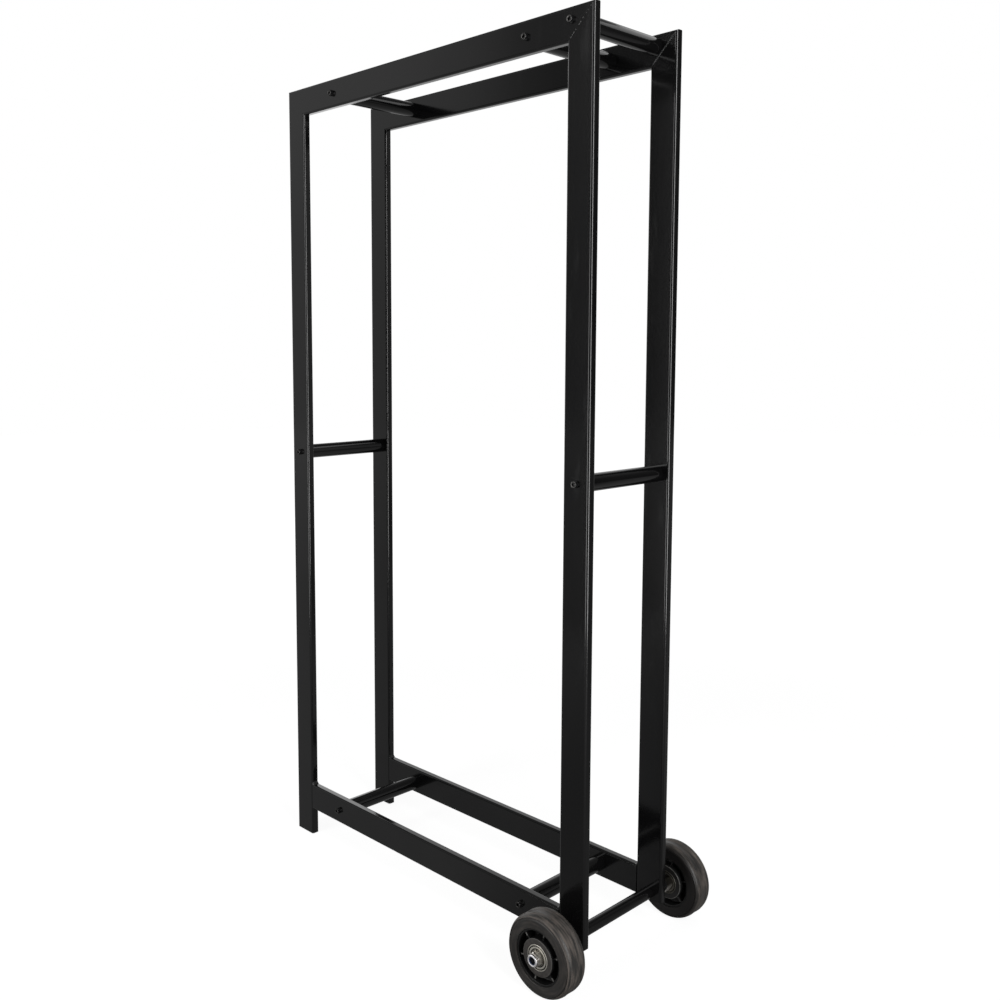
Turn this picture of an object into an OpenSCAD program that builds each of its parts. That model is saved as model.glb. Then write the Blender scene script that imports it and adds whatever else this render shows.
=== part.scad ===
// Log cart: two welded tube frames, held apart by round cross tubes,
// standing on two legs at one end and two wheels at the other.
// X runs along the cart towards the wheels, Y from front to back, Z up.
// The origin is on the floor, in the middle of the cart's footprint.

/* [Frame] */
// Length of a side frame, outside to outside
frame_len = 600; // [450:1:800]
// Depth over the two side frames, outside to outside
frame_depth = 174; // [140:1:350]
// Height of the frame's top above the floor
frame_top = 1175; // [800:1:1400]
// Height of the middle cross tubes' axis above the floor
mid_tube_height = 620; // [350:1:700]

/* [Rectangular tube] */
// Width of the tube's broad face
tube_w = 40; // [32:1:50]
// Thickness of the tube across its narrow face
tube_t = 12; // [8:0.5:20]
// Wall of the rectangular tube
tube_wall = 1.5; // [1:0.1:1.8]
// Outside radius of the tube's long edges
tube_corner = 3; // [1.9:0.1:3.5]

/* [Cross tubes] */
// Outside diameter of the round cross tubes
cross_d = 22; // [18:0.5:26]
// Wall of the round cross tubes
cross_wall = 1.5; // [1:0.1:2]
// From the frame's leg end to the axis of the leg end's cross tubes
left_tube_inset = 110; // [80:1:160]
// From the frame's wheel end to the axis of the wheel end's cross tubes
right_tube_inset = 105; // [85:1:160]
// From the frame's wheel end to the handle tube's axis
handle_inset = 34; // [30:1:45]
// From the frame's top to the handle tube's axis
handle_drop = 15; // [14:0.5:18]
// Length of the threaded plug in each end of a cross tube
plug_len = 16; // [10:1:30]

/* [Frame screws] */
// Thread diameter of the cap screws
screw_d = 5; // [4:0.5:6]
// Diameter of the screw's head
screw_head_d = 8.5; // [8:0.1:12]
// Height of the screw's head
screw_head_h = 5; // [3.5:0.1:6]
// Hexagon socket across its flats
screw_socket = 4; // [2.5:0.5:5]
// Depth of the hexagon socket
screw_socket_depth = 2.5; // [1:0.1:3]
// Radius of the head's rounded edge
screw_edge_r = 0.6; // [0.2:0.1:0.8]
// How far the screw reaches into a cross tube's plug
screw_grip = 13; // [8:1:20]

/* [Wheels] */
// Diameter of the tyre
tyre_d = 102; // [94:1:140]
// Width of the tyre and of the hub's boss
wheel_w = 33; // [28:1:45]
// Radius of the tyre's rounded shoulder
shoulder_r = 7.6; // [4:0.1:8]
// Radius of the rim that the tyre sits on
rim_r = 34.5; // [33:0.5:38]
// Thickness of the rim
rim_wall = 2.6; // [2:0.1:4]
// How far the rim's edge lies inside the tyre's face
rim_inset = 1.5; // [0.5:0.1:3]
// Height of the rib round the rim that keys the tyre
key_h = 1.5; // [1:0.1:2.5]
// Width of the rib that keys the tyre
key_w = 12; // [6:1:18]
// Width of the groove moulded round each tyre shoulder
groove_w = 0.8; // [0.4:0.1:1.5]
// Angle on the shoulder at which the moulded groove lies
groove_angle = 25; // [15:1:50]
// Radius of the hub's boss
boss_r = 23.3; // [20:0.1:26]
// Thickness of the hub's web
web_t = 4; // [3:0.5:8]
// Number of ribs on each side of the web
rib_count = 6; // [4:1:10]
// Thickness of a rib
rib_t = 2.2; // [1.5:0.1:4]
// How far a rib's edge lies inside the boss's face
rib_inset = 4; // [2:0.5:8]
// Angle of the front wheel's first rib above the cart's length
rib_phase = 17; // [0:1:59]
// Gap between a side frame and its wheel
wheel_gap = 29; // [18:1:60]

/* [Bearings] */
// Bore of the ball bearing
bearing_bore = 12; // [11.5:0.1:12.5]
// Outside diameter of the ball bearing
bearing_d = 32; // [31:0.5:35]
// Width of the ball bearing
bearing_w = 10; // [9:0.5:12]
// Outside diameter of the inner ring
inner_ring_d = 18; // [17:0.1:18.5]
// Inside diameter of the outer ring
outer_ring_bore = 26; // [25:0.1:26.5]
// Diameter of a ball
ball_d = 5.9; // [5.5:0.1:6.2]
// Number of balls in a bearing
ball_count = 7; // [5:1:8]
// Radial thickness of the ball cage
cage_t = 1.2; // [0.8:0.1:2]
// Width of the ball cage along the axle
cage_w = 7.4; // [7:0.1:7.6]
// Thickness of a bearing shield
shield_t = 0.4; // [0.3:0.1:0.6]
// How far a shield lies inside the bearing's face
shield_inset = 0.5; // [0.3:0.1:0.6]

/* [Axle] */
// Outside diameter of the tube round the axle
axle_tube_d = 16; // [15:0.1:18]
// Wall of the tube round the axle
axle_tube_wall = 1.5; // [1:0.1:1.6]
// From the axle down to the bottom rails' lower edge
axle_edge = 9; // [8.8:0.1:12]
// How far the shoulder of the axle's thread lies inside the bearing's face
axle_shoulder_inset = 0.5; // [0.3:0.1:2]
// Chamfer on the axle's ends
axle_chamfer = 0.8; // [0.4:0.1:1.2]
// Outside diameter of the spacer sleeve beside each frame
sleeve_d = 18; // [15:0.5:22]
// Outside diameter of the spacer between a wheel's two bearings
hub_spacer_d = 16; // [14:0.5:18]

/* [Nuts] */
// Hexagon nut inside each wheel, across its flats
inner_nut_af = 19; // [18:0.5:20]
// Height of the hexagon nut inside each wheel
inner_nut_h = 10; // [6:0.5:12]
// Thread of the lock nut at each end of the axle
lock_thread_d = 10; // [8:0.5:10.5]
// Lock nut across its flats
lock_nut_af = 17; // [16:0.5:19]
// Height of the lock nut
lock_nut_h = 10; // [9:0.5:12]
// Height of the lock nut's hexagon
lock_hex_h = 7; // [5:0.5:7]
// Diameter of the lock nut's round collar
lock_collar_d = 14.7; // [14:0.1:16]
// Wall of the collar round the nylon ring
collar_wall = 1; // [0.8:0.1:1.2]
// How far the axle's end lies inside the lock nut's end
axle_end_inset = 1.5; // [1:0.1:2.5]

/* [End caps] */
// Thickness of the cap's foot and of the plate that closes a post
cap_flange = 2; // [1:0.1:2.5]
// How far a leg cap's skirt reaches into its leg
cap_skirt_h = 12; // [6:1:30]
// Wall of the cap's skirt
cap_skirt_t = 1.2; // [0.8:0.1:1.5]

/* [Fits] */
// Clearance round a part that is pressed or seated in another
seat_gap = 0.05; // [0.02:0.01:0.1]
// Clearance round a screw or the axle in its hole
hole_gap = 0.2; // [0.1:0.05:0.4]
// Clearance round a ball in its races and its cage
ball_gap = 0.05; // [0.02:0.01:0.1]
// Clearance between a bearing shield and the inner ring
shield_gap = 0.3; // [0.2:0.05:0.5]

/* [Hidden] */
$fn = 96;

// Cuts run this far past the faces that they go through
over = 1;
// Side of the block that cuts a mitre: it covers the whole slanted cut
mitre_block = 4 * tube_w;
// Slope of the chamfer on a nut's corners
nut_chamfer_angle = 30;
// Steps in a curved outline
arc_steps = 12;

// Sides of the cart, as the sign of Y
front = -1;
back = 1;

// Ends of the side frames, as the direction from the end towards the middle
leg_end = 1;
wheel_end = -1;

// Along the cart: the wheels reach past the frame, and the origin is in the middle of both
axle_height = tyre_d / 2;
leg_drop = axle_height - axle_edge;
wheel_overhang = tyre_d / 2 - tube_w / 2;
frame_left = -(frame_len + wheel_overhang) / 2;
frame_right = frame_left + frame_len;
left_post_x = frame_left + tube_w / 2;
right_post_x = frame_right - tube_w / 2;
left_tube_x = frame_left + left_tube_inset;
right_tube_x = frame_right - right_tube_inset;
handle_x = frame_right - handle_inset;

// Heights of the rails' centre lines, which the cross tubes follow
top_rail_z = frame_top - tube_w / 2;
bottom_rail_z = leg_drop + tube_w / 2;
handle_z = frame_top - handle_drop;

// Across the cart
frame_mid_y = (frame_depth - tube_t) / 2;
frame_inner_y = frame_depth / 2 - tube_t;
cross_len = 2 * frame_inner_y;
wheel_inner_y = frame_depth / 2 + wheel_gap;
wheel_mid_y = wheel_inner_y + wheel_w / 2;
wheel_outer_y = wheel_inner_y + wheel_w;
sleeve_len = wheel_gap - inner_nut_h;
axle_end_y = wheel_outer_y + lock_nut_h - axle_end_inset;
axle_shoulder_y = wheel_outer_y - axle_shoulder_inset;

// Radii and insets that follow from the fits
skirt_inset = tube_wall + seat_gap;
cross_bore_r = cross_d / 2 - cross_wall;
axle_r = bearing_bore / 2 - seat_gap;
pitch_r = (inner_ring_d + outer_ring_bore) / 4;
race_r = ball_d / 2 + ball_gap;
bearing_mid = wheel_w / 2 - bearing_w / 2;
tyre_r = tyre_d / 2;
ring_cavity_r = lock_collar_d / 2 - collar_wall;
lock_thread_r = lock_thread_d / 2;
lip_r = (lock_thread_r + ring_cavity_r) / 2;

// Axis of every screwed cross tube, as [along the cart, height]
top_left_axis = [left_tube_x, top_rail_z];
top_right_axis = [right_tube_x, top_rail_z];
handle_axis = [handle_x, handle_z];
mid_left_axis = [left_post_x, mid_tube_height];
mid_right_axis = [right_post_x, mid_tube_height];
bottom_left_axis = [left_tube_x, bottom_rail_z];
bottom_right_axis = [right_tube_x, bottom_rail_z];
cross_axes = [top_left_axis, top_right_axis, handle_axis, mid_left_axis, mid_right_axis,
    bottom_left_axis, bottom_right_axis];

paint = "#1c1c1c";
screw_black = "#141414";
rubber = "#45413e";
hub_plastic = "#262524";
cap_plastic = "#171717";
bright_zinc = "#d8d8da";
bearing_steel = "#b9b4aa";
plain_steel = "#8c8c8a";
nylon_blue = "#1f2c4a";

// ---- Shared shapes ----

// Points on an arc about a centre, from one angle to another
function arc(centre, radius, from, to) =
    [for (i = [0:arc_steps]) let (a = from + (to - from) * i / arc_steps)
        centre + radius * [cos(a), sin(a)]];

// Corner radius of a hexagon of a given width across its flats
function hex_r(across_flats) = across_flats / sqrt(3);

module rounded_rect(w, t, r) {
    square([w - 2 * r, t], center = true);
    square([w, t - 2 * r], center = true);
    for (sx = [-1, 1], sy = [-1, 1])
        translate([sx * (w / 2 - r), sy * (t / 2 - r)]) circle(r = r);
}

module tube_outline() rounded_rect(tube_w, tube_t, tube_corner);

module tube_section() difference() {
    tube_outline();
    rounded_rect(tube_w - 2 * tube_wall, tube_t - 2 * tube_wall, tube_corner - tube_wall);
}

// Turns a shape built along +Z so that it runs along +Y, at a place along the cart and a height
module along_y(axis, y = 0) translate([axis[0], y, axis[1]]) rotate([-90, 0, 0]) children();

// The same shape at the front and, mirrored, at the back
module both_sides() {
    children();
    mirror([0, 1, 0]) children();
}

module ring(outer_r, inner_r, h) difference() {
    cylinder(r = outer_r, h = h, center = true);
    cylinder(r = inner_r, h = h + 2 * over, center = true);
}

// Round hole through both walls of a side frame's tube
module frame_hole(axis, side, r) along_y(axis, side * frame_mid_y)
    cylinder(r = r, h = tube_t + 2 * over, center = true);

module screw_hole(axis, side) frame_hole(axis, side, screw_d / 2 + hole_gap);

// Block that lies against one side of a mitre: low is 0 on the rail's side and -1 on the post's
module mitre_side(end, low) translate([end == leg_end ? frame_left : frame_right, 0, frame_top])
    rotate([0, 45 * end, 0])
        translate([-mitre_block / 2, -frame_depth, low * mitre_block])
            cube([mitre_block, 2 * frame_depth, mitre_block]);

module rail_side(end) mitre_side(end, 0);
module post_side(end) mitre_side(end, -1);

// ---- Side frames ----

module left_post(side) color(paint) difference() {
    translate([left_post_x, side * frame_mid_y, cap_flange])
        linear_extrude(frame_top - cap_flange) tube_section();
    rail_side(leg_end);
    screw_hole(mid_left_axis, side);
}

module right_post(side) color(paint) difference() {
    translate([right_post_x, side * frame_mid_y, leg_drop + cap_flange])
        linear_extrude(frame_top - leg_drop - cap_flange) tube_section();
    rail_side(wheel_end);
    screw_hole(mid_right_axis, side);
    frame_hole([right_post_x, axle_height], side, axle_r + hole_gap);
}

module top_rail(side) color(paint) difference() {
    translate([frame_left, side * frame_mid_y, top_rail_z]) rotate([0, 90, 0])
        linear_extrude(frame_len) tube_section();
    post_side(leg_end);
    post_side(wheel_end);
    screw_hole(top_left_axis, side);
    screw_hole(top_right_axis, side);
    screw_hole(handle_axis, side);
}

module bottom_rail(side) color(paint) difference() {
    translate([frame_left + tube_w, side * frame_mid_y, bottom_rail_z]) rotate([0, 90, 0])
        linear_extrude(frame_len - 2 * tube_w) tube_section();
    screw_hole(bottom_left_axis, side);
    screw_hole(bottom_right_axis, side);
}

module front_left_post() left_post(front);
module front_right_post() right_post(front);
module front_top_rail() top_rail(front);
module front_bottom_rail() bottom_rail(front);
module back_left_post() left_post(back);
module back_right_post() right_post(back);
module back_top_rail() top_rail(back);
module back_bottom_rail() bottom_rail(back);

// Moulded cap in the foot of each leg: a flat foot and a hollow skirt
module leg_caps() color(cap_plastic) both_sides()
    translate([left_post_x, -frame_mid_y, 0]) {
        linear_extrude(cap_flange) tube_outline();
        translate([0, 0, cap_flange]) linear_extrude(cap_skirt_h) cap_skirt();
    }

module cap_skirt() difference() {
    rounded_rect(tube_w - 2 * skirt_inset, tube_t - 2 * skirt_inset, tube_corner - skirt_inset);
    square([tube_w - 2 * (skirt_inset + cap_skirt_t), tube_t - 2 * (skirt_inset + cap_skirt_t)], center = true);
}

// Flat plate that closes the lower end of each wheel-end post
module post_end_plates() color(paint) both_sides()
    translate([right_post_x, -frame_mid_y, leg_drop]) linear_extrude(cap_flange) tube_outline();

// ---- Cross tubes and their screws ----

module cross_tube(axis) color(paint) along_y(axis) ring(cross_d / 2, cross_bore_r, cross_len);

module top_left_tube() cross_tube(top_left_axis);
module top_right_tube() cross_tube(top_right_axis);
module handle_tube() cross_tube(handle_axis);
module mid_left_tube() cross_tube(mid_left_axis);
module mid_right_tube() cross_tube(mid_right_axis);
module bottom_left_tube() cross_tube(bottom_left_axis);
module bottom_right_tube() cross_tube(bottom_right_axis);

// Threaded plug flush in each end of the seven cross tubes
module tube_plugs() color(plain_steel) both_sides() for (axis = cross_axes)
    along_y(axis, -frame_inner_y + plug_len / 2)
        ring(cross_bore_r - seat_gap, screw_d / 2 + seat_gap, plug_len);

module frame_screws() color(screw_black) both_sides() for (axis = cross_axes)
    along_y(axis, -frame_depth / 2) cap_screw();

// Cap screw: its head stands below z = 0 and its thread runs up from there
module cap_screw() {
    cylinder(d = screw_d, h = tube_t + screw_grip);
    difference() {
        mirror([0, 0, 1]) rotate_extrude() screw_head_profile();
        translate([0, 0, -screw_head_h - over])
            cylinder(r = hex_r(screw_socket), h = screw_socket_depth + over, $fn = 6);
    }
}

// Half outline of the head: a straight side and a rounded edge round its flat face
module screw_head_profile() polygon(concat([[0, 0], [screw_head_d / 2, 0]],
    arc([screw_head_d / 2 - screw_edge_r, screw_head_h - screw_edge_r], screw_edge_r, 0, 90),
    [[0, screw_head_h]]));

// ---- Axle ----

module on_axle(y = 0) along_y([right_post_x, axle_height], y) children();

module axle_tube() color(paint) on_axle()
    ring(axle_tube_d / 2, axle_tube_d / 2 - axle_tube_wall, cross_len);

// Plain rod with a turned-down thread at each end
module axle_rod() color(plain_steel) on_axle() rotate_extrude() polygon([
    [0, -axle_end_y], [lock_thread_r - axle_chamfer, -axle_end_y],
    [lock_thread_r, -axle_end_y + axle_chamfer], [lock_thread_r, -axle_shoulder_y],
    [axle_r, -axle_shoulder_y], [axle_r, axle_shoulder_y],
    [lock_thread_r, axle_shoulder_y], [lock_thread_r, axle_end_y - axle_chamfer],
    [lock_thread_r - axle_chamfer, axle_end_y], [0, axle_end_y]]);

module axle_sleeves() color(screw_black) both_sides()
    on_axle(-frame_depth / 2 - sleeve_len / 2) ring(sleeve_d / 2, axle_r + seat_gap, sleeve_len);

// Hexagonal prism with the chamfered corners of a nut, from z = 0 up
module nut_blank(across_flats, h) {
    corner_r = hex_r(across_flats);
    chamfer_h = (corner_r - across_flats / 2) * tan(nut_chamfer_angle);
    intersection() {
        cylinder(r = corner_r, h = h, $fn = 6);
        rotate_extrude() polygon([[0, 0], [across_flats / 2, 0], [corner_r, chamfer_h],
            [corner_r, h - chamfer_h], [across_flats / 2, h], [0, h]]);
    }
}

// Nut against the inner face of each wheel's bearing
module inner_nuts() color(bearing_steel) both_sides()
    on_axle(-wheel_inner_y) difference() {
        nut_blank(inner_nut_af, inner_nut_h);
        translate([0, 0, -over]) cylinder(r = axle_r + seat_gap, h = inner_nut_h + 2 * over);
    }

// Lock nut at each end of the axle, with a hollow collar that holds the nylon ring
module lock_nuts() color(bright_zinc) both_sides()
    on_axle(-wheel_outer_y) mirror([0, 0, 1]) difference() {
        union() {
            nut_blank(lock_nut_af, lock_hex_h);
            rotate_extrude() collar_profile();
        }
        translate([0, 0, -over]) cylinder(r = lock_thread_r + seat_gap, h = lock_nut_h);
        translate([0, 0, lock_hex_h]) cylinder(r = ring_cavity_r, h = lock_nut_h - lock_hex_h - collar_wall);
        translate([0, 0, lock_hex_h]) cylinder(r = lip_r, h = lock_nut_h);
    }

// Half outline of the solid collar, with its end rolled over
module collar_profile() polygon(concat([[0, 0], [lock_collar_d / 2, 0]],
    arc([lock_collar_d / 2 - collar_wall, lock_nut_h - collar_wall], collar_wall, 0, 90),
    [[0, lock_nut_h]]));

module nylon_rings() color(nylon_blue) both_sides()
    on_axle(-wheel_outer_y - (lock_hex_h + lock_nut_h - collar_wall) / 2)
        ring(ring_cavity_r - seat_gap, lock_thread_r + seat_gap,
            lock_nut_h - lock_hex_h - collar_wall - 2 * seat_gap);

// ---- Wheels ----

// Places a shape built about a wheel's middle, with its ribs' angle measured from +X towards +Z
module at_wheel(side) on_axle(side * wheel_mid_y) children();

// A shape at each of the two bearings of a wheel
module each_bearing() for (end = [-1, 1]) translate([0, 0, end * bearing_mid]) children();

// Ring-shaped track that the balls run in
module race() rotate_extrude() translate([pitch_r, 0]) circle(r = race_r);

// The balls' places round a bearing
module each_ball() for (i = [0:ball_count - 1])
    rotate([0, 0, i * 360 / ball_count]) translate([pitch_r, 0, 0]) children();

module bearing_inner_rings() color(bearing_steel) for (side = [front, back])
    at_wheel(side) each_bearing() difference() {
        ring(inner_ring_d / 2, bearing_bore / 2, bearing_w);
        race();
    }

// Spacer on the axle between the inner rings of a wheel's two bearings
module hub_spacers() color(plain_steel) for (side = [front, back])
    at_wheel(side) ring(hub_spacer_d / 2, axle_r + seat_gap, wheel_w - 2 * bearing_w);

// Half outline of the tyre outside its rim, with rounded shoulders
module tyre_profile() polygon(concat(
    [[rim_r + seat_gap, -wheel_w / 2]],
    arc([tyre_r - shoulder_r, -wheel_w / 2 + shoulder_r], shoulder_r, -90, 0),
    arc([tyre_r - shoulder_r, wheel_w / 2 - shoulder_r], shoulder_r, 0, 90),
    [[rim_r + seat_gap, wheel_w / 2]]));

// Moulded groove round both shoulders
module shoulder_grooves() for (end = [-1, 1])
    translate([tyre_r - shoulder_r, end * (wheel_w / 2 - shoulder_r)])
        rotate(end * (90 - groove_angle)) translate([shoulder_r, 0]) circle(d = groove_w);

module tyre() color(rubber) rotate_extrude() difference() {
    tyre_profile();
    shoulder_grooves();
    translate([rim_r - over, -key_w / 2 - seat_gap])
        square([key_h + over + seat_gap, key_w + 2 * seat_gap]);
}

// Half outline of the hub without its ribs: rim with its keying rib, web and boss
module hub_profile() {
    translate([rim_r - rim_wall, -wheel_w / 2 + rim_inset])
        square([rim_wall, wheel_w - 2 * rim_inset]);
    translate([rim_r - over, -key_w / 2]) square([key_h + over, key_w]);
    translate([bearing_d / 2, -web_t / 2]) square([rim_r - rim_wall / 2 - bearing_d / 2, web_t]);
    difference() {
        translate([outer_ring_bore / 2, -wheel_w / 2]) square([boss_r - outer_ring_bore / 2, wheel_w]);
        for (end = [-1, 1]) translate([0, end * bearing_mid])
            square([bearing_d + 2 * seat_gap, bearing_w], center = true);
    }
}

module hub_ribs() for (i = [0:rib_count - 1]) rotate([0, 0, i * 360 / rib_count])
    translate([boss_r - over, -rib_t / 2, -wheel_w / 2 + rib_inset])
        cube([rim_r - rim_wall / 2 - boss_r + over, rib_t, wheel_w - 2 * rib_inset]);

module hub() color(hub_plastic) {
    rotate_extrude() hub_profile();
    rotate([0, 0, -rib_phase]) hub_ribs();
}

module outer_rings() color(bearing_steel) each_bearing() difference() {
    ring(bearing_d / 2, outer_ring_bore / 2, bearing_w);
    race();
}

module balls() color(bright_zinc) each_bearing() each_ball() sphere(d = ball_d);

// Cage ring with a round pocket for each ball
module cages() color(plain_steel) each_bearing() difference() {
    ring(pitch_r + cage_t / 2, pitch_r - cage_t / 2, cage_w);
    each_ball() rotate([0, 90, 0]) cylinder(r = race_r, h = cage_t + 2 * over, center = true);
}

module shields() color(bearing_steel) each_bearing() for (end = [-1, 1])
    translate([0, 0, end * (bearing_w / 2 - shield_inset - shield_t / 2)])
        ring(outer_ring_bore / 2 - seat_gap, inner_ring_d / 2 + shield_gap, shield_t);

module front_tyre() at_wheel(front) tyre();
module front_hub() at_wheel(front) hub();
module front_outer_rings() at_wheel(front) outer_rings();
module front_balls() at_wheel(front) balls();
module front_cages() at_wheel(front) cages();
module front_shields() at_wheel(front) shields();
module back_tyre() at_wheel(back) tyre();
module back_hub() at_wheel(back) hub();
module back_outer_rings() at_wheel(back) outer_rings();
module back_balls() at_wheel(back) balls();
module back_cages() at_wheel(back) cages();
module back_shields() at_wheel(back) shields();

front_left_post();
front_right_post();
front_top_rail();
front_bottom_rail();
back_left_post();
back_right_post();
back_top_rail();
back_bottom_rail();
top_left_tube();
top_right_tube();
handle_tube();
mid_left_tube();
mid_right_tube();
bottom_left_tube();
bottom_right_tube();
axle_tube();
tube_plugs();
frame_screws();
leg_caps();
post_end_plates();
axle_rod();
axle_sleeves();
inner_nuts();
lock_nuts();
nylon_rings();
bearing_inner_rings();
hub_spacers();
front_tyre();
front_hub();
front_outer_rings();
front_balls();
front_cages();
front_shields();
back_tyre();
back_hub();
back_outer_rings();
back_balls();
back_cages();
back_shields();
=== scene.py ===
"""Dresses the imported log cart: two welded tube frames on two legs and two rubber-tyred wheels.

Every length is in metres, in the cart's own frame. X runs along the cart towards the wheels, Y from
front to back and Z up, and the origin is on the floor in the middle of the cart's footprint.
"""

import logging
import math
import random
from dataclasses import dataclass, field
from enum import Enum
from typing import Callable, ClassVar, NamedTuple, Sequence

import bmesh
import bpy
from mathutils import Matrix, Vector


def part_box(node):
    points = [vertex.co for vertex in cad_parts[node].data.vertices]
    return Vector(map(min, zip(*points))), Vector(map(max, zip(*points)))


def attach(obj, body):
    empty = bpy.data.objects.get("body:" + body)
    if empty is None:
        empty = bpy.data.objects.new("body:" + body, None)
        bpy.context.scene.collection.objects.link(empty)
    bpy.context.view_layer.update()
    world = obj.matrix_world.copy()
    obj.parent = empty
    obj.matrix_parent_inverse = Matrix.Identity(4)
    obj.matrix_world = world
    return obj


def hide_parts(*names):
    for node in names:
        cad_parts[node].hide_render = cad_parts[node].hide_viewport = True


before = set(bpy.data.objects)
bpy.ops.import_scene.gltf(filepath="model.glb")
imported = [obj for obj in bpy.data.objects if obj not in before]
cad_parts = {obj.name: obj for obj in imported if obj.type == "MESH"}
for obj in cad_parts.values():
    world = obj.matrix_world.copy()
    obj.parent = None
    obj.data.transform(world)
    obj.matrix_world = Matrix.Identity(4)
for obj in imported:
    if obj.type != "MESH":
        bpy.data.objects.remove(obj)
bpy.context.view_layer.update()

log = logging.getLogger("log_cart")

Point = tuple[float, float]
Place = tuple[float, float, float]
Colour = tuple[float, float, float]
Socket = bpy.types.NodeSocket
Object = bpy.types.Object
Shape = Callable[[float, float, float], float]

MM = 0.001


class Body(Enum):
    """The cart's three bodies: the frame, and a wheel at the front and at the back."""

    FRAME = "frame"
    FRONT_WHEEL = "front_wheel"
    BACK_WHEEL = "back_wheel"


class Side(Enum):
    """A side of the cart, as the sign of Y."""

    FRONT = -1
    BACK = 1

    @property
    def word(self) -> str:
        """The side's name, as the nodes spell it."""
        return self.name.lower()

    @property
    def wheel(self) -> Body:
        """The wheel's body on this side."""
        return Body.FRONT_WHEEL if self is Side.FRONT else Body.BACK_WHEEL


# ---- Node boards and finishes ----


class Cloud(NamedTuple):
    """Cloudy noise: features per metre, octaves, the values that are spread, and the levels they reach."""

    scale: float
    detail: float
    low: float
    high: float
    to_low: float = 0.0
    to_high: float = 1.0


class Grain(NamedTuple):
    """Fine bumps: features per metre, octaves, and depth in metres."""

    scale: float
    detail: float
    depth: float


class Band(NamedTuple):
    """A band of distances: its middle, half its width, and the width of its soft edges."""

    middle: float
    half: float
    soft: float


class Board:
    """A node tree with short calls for the nodes that the finishes and the studio share."""

    # The Mix node's sockets for colours.
    FACTOR, FIRST, SECOND, MIXED = 0, 6, 7, 2

    def __init__(self, tree: bpy.types.NodeTree) -> None:
        """Takes over the node tree of a material or of the world."""
        self.tree = tree
        self.coordinates = self.node("ShaderNodeTexCoord")

    def node(self, kind: str, inputs: dict[int | str, object] | None = None,
             **settings: object) -> bpy.types.Node:
        """Adds a node.

        Args:
            kind: The node's type.
            inputs: What its inputs get, by their numbers or names.
            settings: Values for the node's own properties.

        Returns:
            The new node.
        """
        made = self.tree.nodes.new(kind)
        for name, value in settings.items():
            setattr(made, name, value)
        for name, value in (inputs or {}).items():
            self.put(made.inputs[name], value)
        return made

    def put(self, socket: Socket, value: object) -> None:
        """Links a socket to another node's output, or sets the socket itself.

        Args:
            socket: The input to fill.
            value: An output socket, a number, a colour or a vector.
        """
        if isinstance(value, Socket):
            self.tree.links.new(value, socket)
        elif isinstance(value, tuple) and socket.type == "RGBA":
            socket.default_value = (*value, 1.0)
        else:
            socket.default_value = value

    def math(self, operation: str, *values: object) -> Socket:
        """Sums, products and the like of a row of values.

        Args:
            operation: The Math node's operation.
            values: Values or links, taken in two at a time.

        Returns:
            The result.
        """
        result = values[0]
        for value in values[1:] or (0.0,):
            result = self.node("ShaderNodeMath", {0: result, 1: value}, operation=operation).outputs[0]
        return result

    def vector(self, operation: str, first: Socket, second: object = (0.0, 0.0, 0.0)) -> Socket:
        """The result of a Vector Math node's operation on two vectors."""
        made = self.node("ShaderNodeVectorMath", {0: first, 1: second}, operation=operation)
        return made.outputs["Value" if operation in ("DOT_PRODUCT", "LENGTH") else "Vector"]

    def span(self, value: Socket, low: float, high: float, to_low: float = 0.0, to_high: float = 1.0,
             even: bool = False) -> Socket:
        """Maps low to high onto to_low to to_high, clamped, and eased at the ends unless it is even."""
        ends = {"Value": value, "From Min": low, "From Max": high, "To Min": to_low, "To Max": to_high}
        return self.node("ShaderNodeMapRange", ends,
                         interpolation_type="LINEAR" if even else "SMOOTHSTEP").outputs["Result"]

    def between(self, factor: Socket, first: float, second: float) -> Socket:
        """A level from the first, where the factor is 0, to the second, where it is 1."""
        return self.span(factor, 0.0, 1.0, first, second)

    def ramp(self, value: Socket, stops: Sequence[Point]) -> Socket:
        """Levels between stops.

        Args:
            value: A value from 0 to 1.
            stops: Pairs of value and level, in rising order.

        Returns:
            The level at the value.
        """
        made = self.node("ShaderNodeValToRGB", {"Fac": value})
        elements = made.color_ramp.elements
        while len(elements) < len(stops):
            elements.new(1.0)
        for element, (position, level) in zip(elements, stops):
            element.position = position
            element.color = (level, level, level, 1.0)
        return made.outputs["Color"]

    def blend(self, factor: Socket, first: object, second: object) -> Socket:
        """A colour from the first, where the factor is 0, to the second, where it is 1."""
        colours = {self.FACTOR: factor, self.FIRST: first, self.SECOND: second}
        return self.node("ShaderNodeMix", colours, data_type="RGBA").outputs[self.MIXED]


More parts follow.
